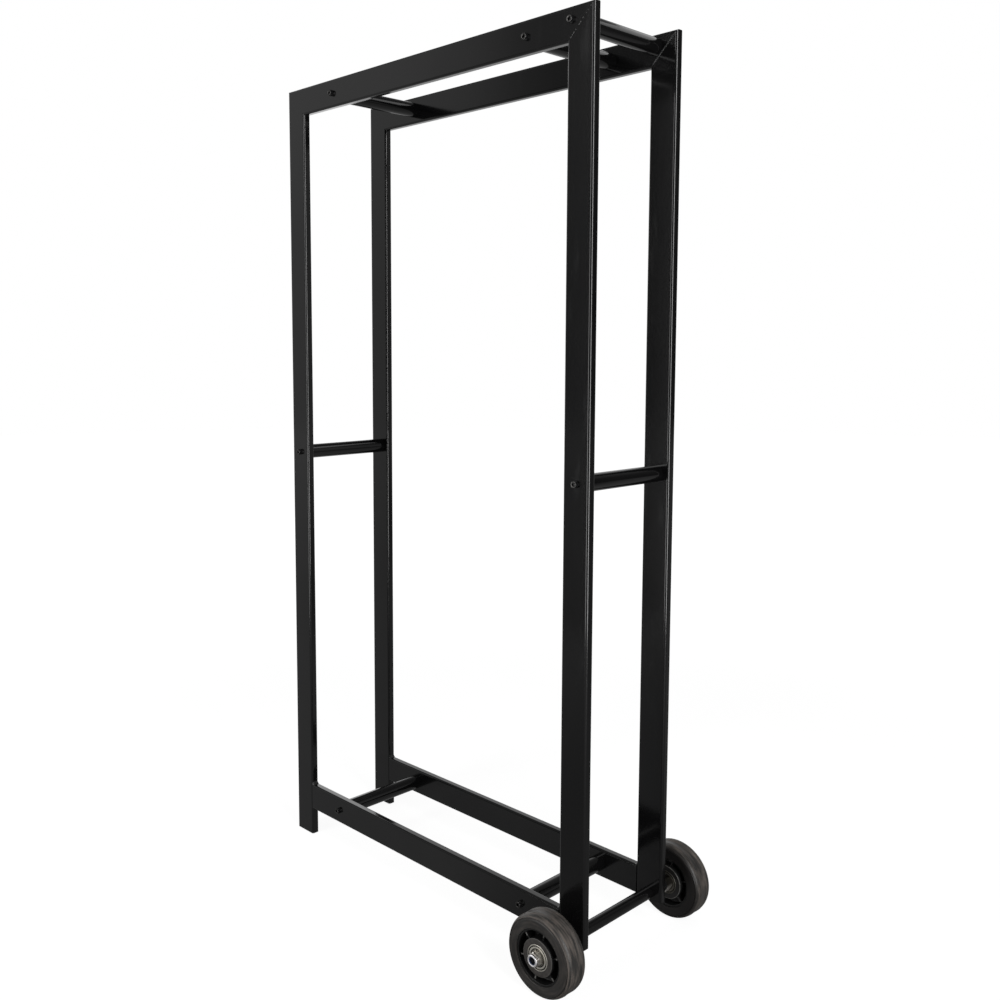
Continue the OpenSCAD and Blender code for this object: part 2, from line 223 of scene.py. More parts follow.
class Surface(Board):
    """The board of one material with a Principled surface."""

    def __init__(self, name: str) -> None:
        """Starts a material.

        Args:
            name: The material's name.
        """
        self.material = bpy.data.materials.new(name)
        self.material.use_nodes = True
        super().__init__(self.material.node_tree)
        self.surface = self.tree.nodes["Principled BSDF"]
        self.here = self.coordinates.outputs["Object"]

    def set(self, **sockets: object) -> None:
        """Fills the surface's inputs, named with underscores in place of spaces."""
        for name, value in sockets.items():
            self.put(self.surface.inputs[name.replace("_", " ")], value)

    def noise(self, scale: float, detail: float, place: Socket | None = None) -> Socket:
        """Noise near 0.5, of a scale in features per metre and a detail in octaves, read at a place."""
        inputs = {"Vector": place or self.here, "Scale": scale, "Detail": detail}
        return self.node("ShaderNodeTexNoise", inputs).outputs["Fac"]

    def cloud(self, cloud: Cloud, place: Socket | None = None) -> Socket:
        """A cloud's level, read at the surface's own place or at another one."""
        return self.span(self.noise(cloud.scale, cloud.detail, place), *cloud[2:])

    def bump(self, height: Socket, depth: float) -> None:
        """Adds a bump over those before it.

        Args:
            height: Its height, from 0 to 1.
            depth: Its depth in metres.
        """
        below = {"Normal": link.from_socket for link in self.surface.inputs["Normal"].links}
        made = self.node("ShaderNodeBump", {"Height": height, "Distance": depth, **below})
        self.set(Normal=made.outputs["Normal"])

    def along(self, axis: str) -> Socket:
        """The surface's place along X, Y or Z, in metres in the cart's own frame."""
        return self.node("ShaderNodeSeparateXYZ", {0: self.here}).outputs[axis]

    def outward(self) -> Socket:
        """The surface's distance from the cart's middle plane, in metres."""
        return self.math("ABSOLUTE", self.along("Y"))

    def beyond(self, distance: float, soft: float) -> Socket:
        """1 from a distance from the cart's middle plane on, and 0 before its soft edge."""
        return self.span(self.outward(), distance - soft, distance)

    def arm(self, centre: Point) -> Socket:
        """The way to the surface from an axis along Y with this X and Z. Its own Y is 0."""
        across = self.vector("SUBTRACT", self.here, (centre[0], 0.0, centre[1]))
        return self.vector("MULTIPLY", across, (1.0, 0.0, 1.0))

    def radius(self, centre: Point) -> Socket:
        """Distance in metres from an axis along Y with this X and Z."""
        return self.vector("LENGTH", self.arm(centre))

    def wrapped(self, centre: Point, girth: float) -> Socket:
        """A place that changes slowly about an axis along Y, to draw a pattern out round it.

        Args:
            centre: The axis's X and Z.
            girth: Radius of the small circle that one turn is read on.

        Returns:
            The place: round the small circle in X and Z, and across and outward along Y.
        """
        turn = self.vector("MULTIPLY", self.vector("NORMALIZE", self.arm(centre)), (girth, 0.0, girth))
        out = self.math("ADD", self.along("Y"), self.radius(centre))
        return self.vector("ADD", turn, self.node("ShaderNodeCombineXYZ", {"Y": out}).outputs["Vector"])

    def band(self, value: Socket, band: Band) -> Socket:
        """1 in a band, and 0 beyond its soft edges."""
        off = self.math("ABSOLUTE", self.math("SUBTRACT", value, band.middle))
        return self.span(off, band.half, band.half + band.soft, 1.0, 0.0)

    def inner_side(self, middle: float) -> Socket:
        """1 on the half of a wheel that faces the cart, and 0 on its outer half."""
        return self.span(self.outward(), middle - 5 * MM, middle + 4 * MM, 1.0, 0.0)

    def sided(self, middle: float, outer: float, inner: float) -> Socket:
        """A level for a wheel's outer half, and one for the half that faces the cart."""
        return self.between(self.inner_side(middle), outer, inner)


@dataclass(frozen=True)
class Finish:
    """What every finish shares: its name, its grain, and one material that is made once."""

    name: str
    grain: ClassVar[Grain | None] = None
    made: ClassVar[dict[str, bpy.types.Material]] = {}

    def dress(self, board: Surface) -> None:
        """Fills the new material's board. Each finish has its own way."""
        raise NotImplementedError

    def material(self) -> bpy.types.Material:
        """The finish's material, made at its first use."""
        if self.name not in Finish.made:
            board = Surface(self.name)
            if self.grain:
                board.bump(board.noise(self.grain.scale, self.grain.detail), self.grain.depth)
            self.dress(board)
            Finish.made[self.name] = board.material
        return Finish.made[self.name]


@dataclass(frozen=True)
class GlossPaint(Finish):
    """Black gloss powder coat with faint smudges and a few specks of dust."""

    deep: Colour = (0.0022, 0.0022, 0.0024)
    worn: Colour = (0.0042, 0.0041, 0.0042)
    dust: Colour = (0.05, 0.048, 0.045)
    smooth: float = 0.12
    hazed: float = 0.16
    tone: Cloud = Cloud(5.0, 4.0, 0.35, 0.65)
    smudges: Cloud = Cloud(60.0, 6.0, 0.52, 0.8)
    smudge_draw: Place = (1.0, 1.0, 0.2)
    specks: Cloud = Cloud(1500.0, 1.0, 0.76, 0.8)
    speck_share: float = 0.3

    def dress(self, board: Surface) -> None:
        """Fills the board.

        Args:
            board: The new material's board.
        """
        specks = board.cloud(self.specks)
        rubbed = board.cloud(self.smudges, board.vector("MULTIPLY", board.here, self.smudge_draw))
        colour = board.blend(board.cloud(self.tone), self.deep, self.worn)
        board.set(Base_Color=board.blend(board.math("MULTIPLY", specks, self.speck_share), colour, self.dust),
                  Roughness=board.between(board.math("MAXIMUM", rubbed, specks), self.smooth, self.hazed))


@dataclass(frozen=True)
class BlackOxide(Finish):
    """Blackened steel, rubbed bright beyond a distance from the cart's middle plane."""

    rubbed_from: float = 1.0
    rubbed_soft: float = 0.15 * MM
    dark: Colour = (0.006, 0.006, 0.0065)
    rubbed: Colour = (0.058, 0.056, 0.054)
    wear: Cloud = Cloud(700.0, 4.0, 0.3, 0.6, 0.3, 1.0)
    roughness: Cloud = Cloud(900.0, 3.0, 0.3, 0.7, 0.2, 0.34)
    grain = Grain(2600.0, 2.0, 0.006 * MM)

    def dress(self, board: Surface) -> None:
        """Fills the board."""
        wear = board.math("MULTIPLY", board.beyond(self.rubbed_from, self.rubbed_soft),
                          board.cloud(self.wear))
        board.set(Base_Color=board.blend(wear, self.dark, self.rubbed), Metallic=wear,
                  Roughness=board.cloud(self.roughness))


@dataclass(frozen=True)
class TyreRubber(Finish):
    """Solid rubber: brown-black, satin, with dust in streaks round its tread, a shoulder band of wear and
    painted highlight, and painted shade towards the cart.
    """

    centre: Point
    middle: float
    tread_from: float
    tread_soft: float = 3 * MM
    wall_dust: float = 0.3
    # How strong the painted shade towards the cart is, on the wall and on the tread.
    inner_shades: Point = (0.85, 0.2)
    fresh: Colour = (0.02, 0.0192, 0.0184)
    grey: Colour = (0.028, 0.0273, 0.0264)
    dusty: Colour = (0.102, 0.087, 0.076)
    # Painted shade: the colour of the half that faces the cart.
    shaded: Colour = (0.005, 0.0045, 0.0045)
    smooth: float = 0.36
    rough: float = 0.7
    gloss: float = 0.3
    girth: float = 7 * MM
    tone: Cloud = Cloud(24.0, 3.0, 0.35, 0.7)
    streaks: Cloud = Cloud(330.0, 5.0, 0.34, 0.7)
    streak_gaps: Cloud = Cloud(110.0, 4.0, 0.3, 0.65, 0.6, 1.0)
    streak_depth: float = 0.02 * MM
    speckle: Cloud = Cloud(800.0, 3.0, 0.55, 0.75, 0.0, 0.3)
    # A pale band round each shoulder: part wear, part painted highlight.
    edge: Band = Band(48.0 * MM, 0.4 * MM, 0.7 * MM)
    edge_wear: Cloud = Cloud(500.0, 4.0, 0.4, 0.6, 0.2, 0.9)
    grain = Grain(900.0, 4.0, 0.03 * MM)

    def dress(self, board: Surface) -> None:
        """Fills the board.

        Args:
            board: The new material's board.
        """
        radius, start = board.radius(self.centre), self.tread_from
        on_tread = board.span(radius, start, start + self.tread_soft, self.wall_dust, 1.0)
        drawn_out = board.wrapped(self.centre, self.girth)
        streaks = board.math("MULTIPLY", board.cloud(self.streaks, drawn_out), board.cloud(self.streak_gaps))
        # The shoulder band, part wear and part painted highlight, joins the dust.
        edge = board.math("MULTIPLY", board.band(radius, self.edge), board.cloud(self.edge_wear, drawn_out))
        dust = board.math("MAXIMUM", board.math("MULTIPLY", streaks, on_tread),
                          board.cloud(self.speckle), edge)
        dusted = board.blend(dust, board.blend(board.cloud(self.tone), self.fresh, self.grey), self.dusty)
        # Painted shade on the half that faces the cart, strong on the wall and weak on the tread.
        shade = board.math("MULTIPLY", board.inner_side(self.middle),
                           board.span(on_tread, self.wall_dust, 1.0, *self.inner_shades))
        board.set(Base_Color=board.blend(shade, dusted, self.shaded),
                  Roughness=board.between(dust, self.smooth, self.rough), Specular_IOR_Level=self.gloss)
        board.bump(streaks, self.streak_depth)


@dataclass(frozen=True)
class MouldedPlastic(Finish):
    """Black moulded plastic with a fine grain and a few paler scuffs."""

    deep: Colour = (0.009, 0.009, 0.009)
    scuffed: Colour = (0.05, 0.047, 0.045)
    smooth: float = 0.38
    rough: float = 0.6
    gloss: float = 0.4
    scuffs: Cloud = Cloud(160.0, 6.0, 0.5, 0.8, 0.0, 0.3)
    grain = Grain(1800.0, 3.0, 0.02 * MM)

    def pale(self, board: Surface) -> Socket:
        """How pale the plastic is, from 0 to 1."""
        return board.cloud(self.scuffs)

    def dress(self, board: Surface) -> None:
        """Fills the board."""
        pale = self.pale(board)
        board.set(Base_Color=board.blend(pale, self.deep, self.scuffed), Specular_IOR_Level=self.gloss,
                  Roughness=board.between(pale, self.smooth, self.rough))


@dataclass(frozen=True)
class HubPlastic(MouldedPlastic):
    """The hubs' plastic: grey and scuffed on the boss, near black in the recess as painted shade, with
    painted highlights on the ribs.
    """

    centre: Point = (0.0, 0.0)
    middle: float = 0.0
    rib_tops: Band = Band(12.5 * MM, 0.35 * MM, 0.3 * MM)
    rib_radii: Band = Band(29.2 * MM, 1.8 * MM, 0.6 * MM)
    boss_face: Band = Band(16.5 * MM, 0.8 * MM, 0.2 * MM)
    boss_edge: Band = Band(22.6 * MM, 0.2 * MM, 0.3 * MM)
    face_soft: Point = (0.7 * MM, 0.1 * MM)
    face_levels: Point = (1.0, 0.15)
    rib_levels: Point = (1.0, 0.12)
    edge_levels: Point = (0.3, 0.9)
    # Near black: painted shade in the recess and on all but the boss's face.
    deep: Colour = (0.006, 0.006, 0.006)
    scuffed: Colour = (0.043, 0.039, 0.036)
    # Painted highlight colour for the rib crests and the boss's edge.
    worn: Colour = (0.15, 0.147, 0.14)
    scuffs: Cloud = Cloud(160.0, 6.0, 0.3, 0.62, 0.6, 1.0)
    chafing: Cloud = Cloud(400.0, 3.0, 0.3, 0.6, 0.4, 1.0)

    def reach(self, board: Surface) -> Socket:
        """Distance from the wheel's middle plane, in metres."""
        return board.math("ABSOLUTE", board.math("SUBTRACT", board.outward(), self.middle))

    def pale(self, board: Surface) -> Socket:
        """How pale the plastic is, from 0 to 1: only on the boss's face, dimmer towards the cart as painted
        shade; the recess stays near black as painted shade.
        """
        ends = (self.boss_face.middle - soft for soft in self.face_soft)
        return board.math("MULTIPLY", board.span(self.reach(board), *ends), board.cloud(self.scuffs),
                          board.sided(self.middle, *self.face_levels))

    def dress(self, board: Surface) -> None:
        """Fills the board.

        Args:
            board: The new material's board.
        """
        super().dress(board)
        reach, radius = self.reach(board), board.radius(self.centre)
        # Painted highlights on the rib crests, dimmed towards the cart as painted shade, and round the boss's
        # edge, brighter towards the cart.
        ribs = board.math("MULTIPLY", board.band(reach, self.rib_tops), board.band(radius, self.rib_radii),
                          board.sided(self.middle, *self.rib_levels))
        rim = board.math("MULTIPLY", board.band(reach, self.boss_face), board.band(radius, self.boss_edge),
                         board.sided(self.middle, *self.edge_levels))
        painted_highlight = board.math("MULTIPLY", board.math("MAXIMUM", ribs, rim), board.cloud(self.chafing))
        colour_below_highlight = board.surface.inputs["Base Color"].links[0].from_socket
        board.set(Base_Color=board.blend(painted_highlight, colour_below_highlight, self.worn))


@dataclass(frozen=True)
class TurnedSteel(Finish):
    """Bare steel ground on a lathe, with a thin film of oil."""

    bright: Colour = (0.86, 0.83, 0.75)
    oiled: Colour = (0.032, 0.028, 0.022)
    smooth: float = 0.42
    rough: float = 0.55
    film: Cloud = Cloud(300.0, 4.0, 0.5, 0.9, 0.0, 0.4)
    grain = Grain(1200.0, 2.0, 0.003 * MM)

    def oil(self, board: Surface) -> Socket:
        """How thick the oil is, from 0 to 1."""
        return board.cloud(self.film)

    def dress(self, board: Surface) -> None:
        """Fills the board."""
        oil = self.oil(board)
        board.set(Base_Color=board.blend(oil, self.bright, self.oiled), Metallic=1.0,
                  Roughness=board.between(oil, self.smooth, self.rough))


@dataclass(frozen=True)
class BearingSteel(TurnedSteel):
    """The bearings' steel, darker in bands at its grooves, and darkened by painted shade on the side towards
    the cart.
    """

    centre: Point = (0.0, 0.0)
    middle: float = 0.0
    film: Cloud = Cloud(300.0, 4.0, 0.5, 0.9, 0.0, 0.2)
    # Painted shade on the side that faces the cart.
    inner_grease: float = 0.85
    grooves: tuple[Band, ...] = (Band(14.0 * MM, 0.6 * MM, 0.25 * MM), Band(10.5 * MM, 0.6 * MM, 0.25 * MM),
                                 Band(8.95 * MM, 0.3 * MM, 0.25 * MM))

    def oil(self, board: Surface) -> Socket:
        """How dark the steel is, from 0 to 1: its oil film, bands at the grooves, and painted shade on the
        side towards the cart.
        """
        radius = board.radius(self.centre)
        return board.math("MAXIMUM", board.cloud(self.film), board.sided(self.middle, 0.0, self.inner_grease),
                          *(board.band(radius, groove) for groove in self.grooves))


@dataclass(frozen=True)
class AxleSteel(TurnedSteel):
    """The axle's rod: plain steel between the bearings, and near-black thread at its ends."""

    thread_from: float = 0.0
    run_out: float = 0.5 * MM
    pitch: float = 1.5 * MM
    thread_depth: float = 0.5 * MM
    bright: Colour = (0.42, 0.41, 0.39)
    oiled: Colour = (0.01, 0.011, 0.014)
    grain = None

    def oil(self, board: Surface) -> Socket:
        """How dark the steel is, from 0 to 1: dark on the thread."""
        return board.beyond(self.thread_from + self.run_out, self.run_out)

    def dress(self, board: Surface) -> None:
        """Fills the board.

        Args:
            board: The new material's board.
        """
        super().dress(board)
        turn = board.math("SINE", board.math("MULTIPLY", board.outward(), 2 * math.pi / self.pitch))
        board.bump(board.math("MULTIPLY", board.span(turn, -1.0, 1.0), self.oil(board)), self.thread_depth)


@dataclass(frozen=True)
class ZincPlate(Finish):
    """Zinc plate over steel, clouded here and there, and bright beyond a distance from the middle plane."""

    crown_from: float = 1.0
    crown_soft: float = 0.2 * MM
    bright: Colour = (0.9, 0.89, 0.91)
    plain: Colour = (0.48, 0.46, 0.43)
    clouded: Colour = (0.38, 0.36, 0.33)
    smooth: float = 0.36
    soft: float = 0.5
    clouds: Cloud = Cloud(200.0, 4.0, 0.42, 0.75)
    grain = Grain(900.0, 3.0, 0.003 * MM)

    def dress(self, board: Surface) -> None:
        """Fills the board.

        Args:
            board: The new material's board.
        """
        crown = board.beyond(self.crown_from, self.crown_soft)
        colour = board.blend(board.cloud(self.clouds), self.plain, self.clouded)
        board.set(Base_Color=board.blend(crown, colour, self.bright), Metallic=1.0,
                  Roughness=board.between(crown, self.smooth, self.soft))


@dataclass(frozen=True)
class OiledNut(Finish):
    """A nut's steel, dark all over as painted shade, with a painted highlight along the lower edges of its
    hexagon.
    """

    centre: Point
    across_flats: float
    # Painted shade: the nut's dark colour.
    oiled: Colour = (0.05, 0.047, 0.04)
    # Painted highlight colour.
    rubbed: Colour = (0.8, 0.77, 0.72)
    flats: tuple[float, ...] = (90.0, 30.0, 150.0)
    edge_soft: Point = (1.3 * MM, 0.7 * MM)
    low_soft: Point = (-4 * MM, 3 * MM)
    roughness: Cloud = Cloud(500.0, 3.0, 0.3, 0.7, 0.36, 0.5)
    grain = Grain(900.0, 3.0, 0.003 * MM)

    def dress(self, board: Surface) -> None:
        """Fills the board.

        Args:
            board: The new material's board.
        """
        arm, flat = board.arm(self.centre), self.across_flats / 2
        ways = [(math.cos(angle), 0.0, math.sin(angle)) for angle in map(math.radians, self.flats)]
        offs = [board.math("ABSOLUTE", board.vector("DOT_PRODUCT", arm, way)) for way in ways]
        # Painted highlight on the lower edges of the hexagon, over the painted shade of the rest.
        edge = board.span(board.math("MAXIMUM", *offs), *(flat - soft for soft in self.edge_soft))
        low = board.span(board.along("Z"), *(self.centre[1] + off for off in self.low_soft), 1.0, 0.0)
        board.set(Base_Color=board.blend(board.math("MULTIPLY", edge, low), self.oiled, self.rubbed),
                  Metallic=1.0, Roughness=board.cloud(self.roughness))


@dataclass(frozen=True)
class Nylon(Finish):
    """Dark blue waxy nylon of a lock nut's ring."""

    light: Colour = (0.014, 0.026, 0.07)
    dark: Colour = (0.007, 0.012, 0.034)
    clouds: Cloud = Cloud(700.0, 3.0, 0.35, 0.65)
    roughness: Cloud = Cloud(400.0, 2.0, 0.3, 0.7, 0.32, 0.46)
    grain = Grain(1500.0, 2.0, 0.015 * MM)

    def dress(self, board: Surface) -> None:
        """Fills the board."""
        board.set(Base_Color=board.blend(board.cloud(self.clouds), self.dark, self.light),
                  Roughness=board.cloud(self.roughness))


# ---- Mesh making ----


def arc(centre: Point, radius: float, start: float, end: float, steps: int = 8) -> list[Point]:
    """Points on an arc between two angles in degrees, both ends included."""
    angles = [math.radians(start + (end - start) * i / steps) for i in range(steps + 1)]
    return [(centre[0] + radius * math.cos(a), centre[1] + radius * math.sin(a)) for a in angles]


def mirrored(half: Sequence[tuple[float, ...]]) -> list[tuple[float, ...]]:
    """A closed outline from one half of it, whose second numbers are distances from its middle."""
    return [*half, *((across, -along, *rest) for across, along, *rest in reversed(half))]


def eased(corners: Sequence[Place], steps: int = 4) -> list[Point]:
    """Rounds the corners of a closed outline.

    Args:
        corners: Each corner's two coordinates and its rounding radius.
        steps: Straight steps in each rounding.

    Returns:
        The outline's points.
    """
    points: list[Point] = []
    for i, (x, y, radius) in enumerate(corners):
        here = Vector((x, y))
        before = Vector(corners[i - 1][:2]) - here
        after = Vector(corners[(i + 1) % len(corners)][:2]) - here
        turn = before.angle(after)
        if radius <= 0 or turn > math.radians(179):
            points.append((x, y))
            continue
        reach = min(radius / math.tan(turn / 2), 0.49 * before.length, 0.49 * after.length)
        start, end = here + before.normalized() * reach, here + after.normalized() * reach
        for step in range(steps + 1):
            t = step / steps
            point = start * (1 - t) ** 2 + here * 2 * t * (1 - t) + end * t**2
            points.append((point.x, point.y))
    return points


def hexagon(across_flats: float, turned: float, corner: float, angle: float) -> float:
    """How far a hexagon reaches at an angle, if it is turned by degrees and its corners are eased."""
    off = math.radians((math.degrees(angle) - turned + 30) % 60 - 30)
    return min(across_flats / 2 / math.cos(off), across_flats / math.sqrt(3) - corner)


def linked(name: str, data: bpy.types.ID) -> Object:
    """Makes an object and links it to the scene.

    Args:
        name: The object's name.
        data: Its mesh, lamp or camera.

    Returns:
        The new object.
    """
    made = bpy.data.objects.new(name, data)
    bpy.context.scene.collection.objects.link(made)
    return made


@dataclass
class Piece:
    """A mesh in the making, of solids turned about axes along Y and solids joined through rings."""

    mesh: bmesh.types.BMesh = field(default_factory=bmesh.new)

    def turn(self, axis: Point, outline: Sequence[Point], segments: int, face: float, way: int = 1,
             shape: Shape | None = None) -> "Piece":
        """Adds one turned solid. Points on the axis become poles.

        Args:
            axis: The axis's X and Z.
            outline: The closed outline, as (distance from the axis, height over a face).
            segments: Steps about the axis.
            face: The face's place along Y.
            way: The direction of the heights, as the sign of Y.
            shape: Gives the distance from the axis for (distance, height, angle), if it isn't round.

        Returns:
            The piece.
        """
        rings = []
        for radius, height in outline:
            along = face + way * height
            if radius < 1e-7:
                rings.append([self.mesh.verts.new((axis[0], along, axis[1]))] * segments)
                continue
            ring = []
            for i in range(segments):
                angle = 2 * math.pi * i / segments
                reach = shape(radius, height, angle) if shape else radius
                ring.append(self.mesh.verts.new((axis[0] + reach * math.cos(angle), along,
                                                 axis[1] + reach * math.sin(angle))))
            rings.append(ring)
        for ring, after in zip(rings, rings[1:] + rings[:1]):
            self.join(ring, after)
        return self

    def join(self, ring: Sequence[bmesh.types.BMVert], after: Sequence[bmesh.types.BMVert]) -> None:
        """Joins two rings of vertices with faces.

        Args:
            ring: The first ring's vertices, or a pole's one vertex over and over.
            after: As many of the second ring.
        """
        for i in range(len(ring)):
            j = (i + 1) % len(ring)
            corners = list(dict.fromkeys((ring[i], ring[j], after[j], after[i])))
            if len(corners) > 2:
                self.mesh.faces.new(corners)

    def loft(self, rings: Sequence[Sequence[Vector]]) -> None:
        """Adds one solid through rings of points and closes its ends.

        Args:
            rings: The rings, each with as many points.
        """
        made = [[self.mesh.verts.new(point) for point in ring] for ring in rings]
        for ring, after in zip(made, made[1:]):
            self.join(ring, after)
        self.mesh.faces.new(made[0])
        self.mesh.faces.new(made[-1])

    def done(self, name: str, crease: float) -> Object:
        """Makes the object, with outward normals, smooth faces and sharp creases.

        Args:
            name: The object's name.
            crease: Angle in degrees from which an edge stays sharp.

        Returns:
            The new object, linked to the scene.
        """
        bmesh.ops.recalc_face_normals(self.mesh, faces=self.mesh.faces)
        data = bpy.data.meshes.new(name)
        self.mesh.to_mesh(data)
        self.mesh.free()
        data.shade_smooth()
        data.set_sharp_from_angle(angle=math.radians(crease))
        return linked(name, data)


# ---- Assemblies ----


@dataclass
class Assembly:
    """A sub-assembly. It keeps what it has made, for the log."""

    made: list[str] = field(default_factory=list, init=False)

    def fit(self, piece: Object, body: Body, slot: str, finish: Finish, *nodes: str) -> None:
        """Dresses a new piece and fastens it to its body.

        Args:
            piece: The new piece, in place.
            body: The body that it rides on.
            slot: The record's material slot. It is not used.
            finish: Its finish.
            nodes: The CAD nodes that it replaces.
        """
        self.dress(piece, finish)
        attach(piece, body.value)
        if nodes:
            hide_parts(*nodes)

    def dress(self, piece: Object, finish: Finish) -> None:
        """Gives a piece its only material.

        Args:
            piece: The piece.
            finish: Its finish.
        """
        piece.data.materials.clear()
        piece.data.materials.append(finish.material())
        self.made.append(piece.name)

    def dress_nodes(self, finish: Finish, *names: str) -> None:
        """Gives CAD nodes that stay their finish."""
        for name in names:
            self.dress(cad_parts[name], finish)

    def report(self) -> None:
        """Logs each piece of the assembly."""
        for name in self.made:
            log.info("%s: %s", type(self).__name__, name)


@dataclass
class SideFrames(Assembly):
    """The two welded side frames and the weld beads that show on them."""

    paint: Finish = GlossPaint("gloss_paint")
    # A rougher copy of the gloss paint for the weld beads, lighter as a painted highlight.
    weld_paint: Finish = GlossPaint("weld_paint", (0.009, 0.009, 0.009), (0.019, 0.019, 0.019),
                                    smooth=0.3, hazed=0.4)
    bead_width: float = 2.6 * MM
    bead_height: float = 0.8 * MM
    bead_inset: float = 2.6 * MM
    bead_sides: int = 10
    ripple: float = 2.8 * MM
    ripple_steps: int = 6
    spot_width: float = 1.4 * MM
    spot_height: float = 0.05 * MM
    corner_weld: float = 4.0 * MM
    corner_steps: int = 14
    corner_sunk: float = 0.5 * MM
    corner_inset: float = 0.6 * MM

    def build(self) -> None:
        """Dresses the tubes and lays the beads."""
        tubes = [f"{side.word}_{part}" for side in Side
                 for part in ("left_post", "right_post", "top_rail", "bottom_rail")]
        self.dress_nodes(self.paint, *tubes, "post_end_plates")
        for side in Side:
            self.fit(self.weld_beads(side), Body.FRAME, "frame_paint", self.weld_paint)
            self.fit(self.corner_welds(side), Body.FRAME, "frame_paint", self.weld_paint)

    def weld_beads(self, side: Side) -> Object:
        """The weld along the mitre at the wheel end's top corner.

        It is a bead on the inner face, and ground flush on the outer face but for a few low spots.

        Args:
            side: The side frame.

        Returns:
            The new object.
        """
        low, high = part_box(f"{side.word}_top_rail")
        post_low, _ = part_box(f"{side.word}_right_post")
        long = high.x - post_low.x - self.bead_inset
        outer, inner = (low.y, high.y) if side is Side.FRONT else (high.y, low.y)
        start = Vector((high.x - self.bead_inset, inner, high.z - self.bead_inset))
        end = Vector((high.x - long, inner, high.z - long))
        out, lift = Vector((0, side.value, 0)), Vector((0, outer - inner, 0))
        lumps = random.Random(5 + side.value)
        piece = Piece()
        self.lay_bead(piece, start, end, -out, self.bead_width, self.bead_height, lumps)
        self.lay_spots(piece, start + lift, end + lift, out, lumps)
        return piece.done(f"{side.word}_mitre_beads", crease=60.0)

    def lay_spots(self, piece: Piece, start: Vector, end: Vector, out: Vector, lumps: random.Random) -> None:
        """Lays the low spots that grinding has left of a bead.

        Args:
            piece: The piece to add to.
            start: Where the bead started.
            end: Where it ended.
            out: The direction out of the tube's face.
            lumps: Gives the spots their lengths and gaps.
        """
        way = (end - start).normalized()
        at = lumps.uniform(2, 4) * MM
        while at < (end - start).length - 4 * MM:
            long = lumps.uniform(0.9, 3.4) * MM
            self.lay_bead(piece, start + way * at, start + way * (at + long), out, self.spot_width,
                          self.spot_height * lumps.uniform(0.5, 1.0), lumps)
            at += long + lumps.uniform(0.6, 5.0) * MM

    def lay_bead(self, piece: Piece, start: Vector, end: Vector, out: Vector, width: float, height: float,
                 lumps: random.Random) -> None:
        """Lays one rippled bead with closed ends, its lower half sunk in the tube.

        Args:
            piece: The piece to add to.
            start: Where the bead starts.
            end: Where it ends.
            out: The direction out of the tube's face.
            width: The bead's width.
            height: How far it stands proud.
            lumps: Gives its ripples their sizes.
        """
        along = end - start
        across = along.normalized().cross(out)
        steps = self.ripple_steps
        stations = max(2 * steps, round(along.length / (self.ripple / steps)))
        size, rings = 1.0, []
        for i in range(stations + 1):
            t = i / stations
            if i % steps == 0:
                size = lumps.uniform(0.6, 1.2)
            wave = 0.62 + 0.38 * abs(math.sin(math.pi * i / steps))
            taper = min(1.0, 6 * t + 0.15, 6 * (1 - t) + 0.15)
            wide, tall = width / 2 * wave * taper * (0.7 + 0.3 * size), height * size * wave * taper
            centre = start + along * t
            angles = (2 * math.pi * k / self.bead_sides for k in range(self.bead_sides))
            rings.append([centre + across * wide * math.cos(a) + out * tall * math.sin(a) for a in angles])
        piece.loft(rings)

    def corner_welds(self, side: Side) -> Object:
        """The fillet welds in the inside corners between the bottom rail's top and the posts.

        Args:
            side: The side frame.

        Returns:
            The new object.
        """
        low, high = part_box(f"{side.word}_bottom_rail")
        piece = Piece()
        for x, way in ((low.x, 1), (high.x, -1)):
            lumps = random.Random(11 * side.value + way)
            self.lay_fillet(piece, Vector((x, low.y, high.z)), way, high.y - low.y, lumps)
        return piece.done(f"{side.word}_corner_welds", crease=50.0)

    def lay_fillet(self, piece: Piece, corner: Vector, way: int, width: float, lumps: random.Random) -> None:
        """Lays one hollow-faced fillet across the tube's thickness.

        Args:
            piece: The piece to add to.
            corner: The inside corner, at the tube's lower Y.
            way: 1 where the rail runs towards +X from the corner, and -1 towards -X.
            width: The tube's thickness.
            lumps: Gives the fillet its lumps.
        """
        sunk, rings = self.corner_sunk, []
        for i in range(self.corner_steps + 1):
            t = i / self.corner_steps
            edge = min(1.0, 5 * t + 0.35, 5 * (1 - t) + 0.35)
            leg = self.corner_weld * edge * lumps.uniform(0.88, 1.08)
            y = corner.y + self.corner_inset + (width - 2 * self.corner_inset) * t
            bulge = leg * 0.36
            profile = [(-sunk, -sunk), (leg, -sunk), (leg, 0.0), (bulge + leg * 0.22, bulge * 0.6),
                       (bulge, bulge), (bulge * 0.6, bulge + leg * 0.22), (0.0, leg), (-sunk, leg)]
            rings.append([(corner.x + way * a, y, corner.z + b) for a, b in profile])
        piece.loft(rings)


